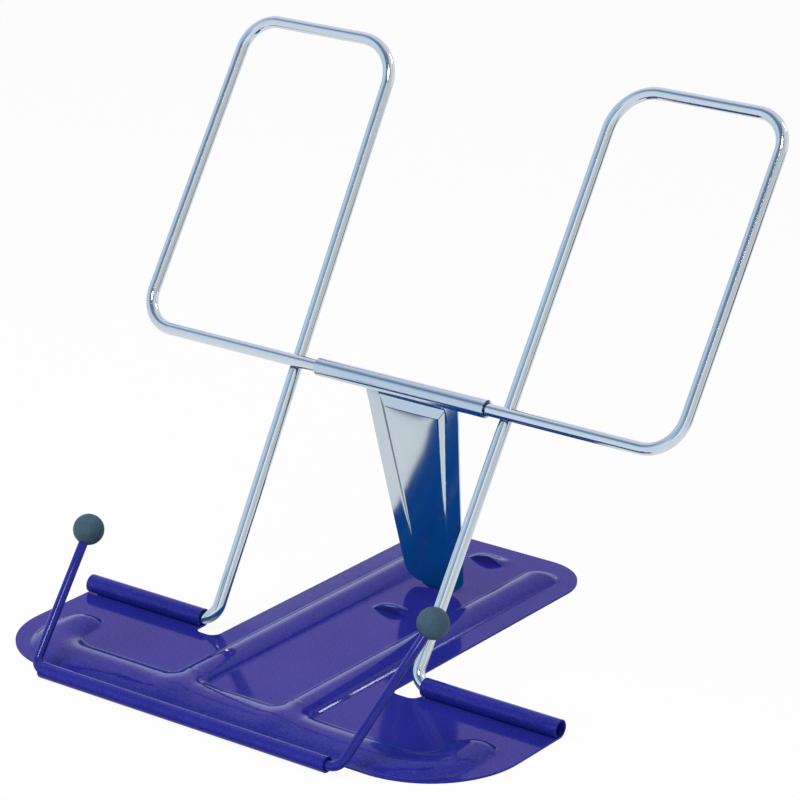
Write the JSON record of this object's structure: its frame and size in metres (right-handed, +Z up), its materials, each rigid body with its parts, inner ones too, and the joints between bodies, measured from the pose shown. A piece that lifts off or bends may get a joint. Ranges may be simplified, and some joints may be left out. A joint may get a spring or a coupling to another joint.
{
  "type": "book stand",
  "caption": "Folding book stand: pressed sheet base with rolled hinges, a wire backrest with two loops, a prop strut and a page holder with ball tips.",
  "frame": {"origin": "on the table, on the flat underside of the base, straight below the middle of the backrest's hinge line", "axes": "+X to the right along the hinge line as the reader sees it, +Y to the rear, +Z up"},
  "size_m": [0.2106, 0.173, 0.1718],
  "materials": {
    "violet_paint": "glossy",
    "holder_paint": "glossy",
    "chrome": "polished",
    "strut_chrome": "mirror polished",
    "grey_rubber": "matt"
  },
  "bodies": {
    "base": {"base_plate": "violet_paint"},
    "backrest": {"backrest_wire": "chrome"},
    "strut": {"prop_strut": "strut_chrome"},
    "page_holder": {"page_holder": "holder_paint", "left_ball_tip": "grey_rubber", "right_ball_tip": "grey_rubber"}
  },
  "joints": [
    {"name": "backrest_hinge", "type": "hinge", "parent": "base", "child": "backrest", "pos_m": [0, 0, 0.003], "axis": [1, 0, 0], "range_deg": [0, 115]},
    {"name": "strut_hinge", "type": "hinge", "parent": "backrest", "child": "strut", "pos_m": [0, 0.04132, 0.07923], "axis": [1, 0, 0], "range_deg": [-46, 0]},
    {"name": "page_holder_hinge", "type": "hinge", "parent": "base", "child": "page_holder", "pos_m": [0, -0.06, 0.0025], "axis": [1, 0, 0], "range_deg": [-40, 127]}
  ],
  "couplings": [
    {"joint": "strut_hinge", "follows": "backrest_hinge", "ratio": -0.4}
  ]
}
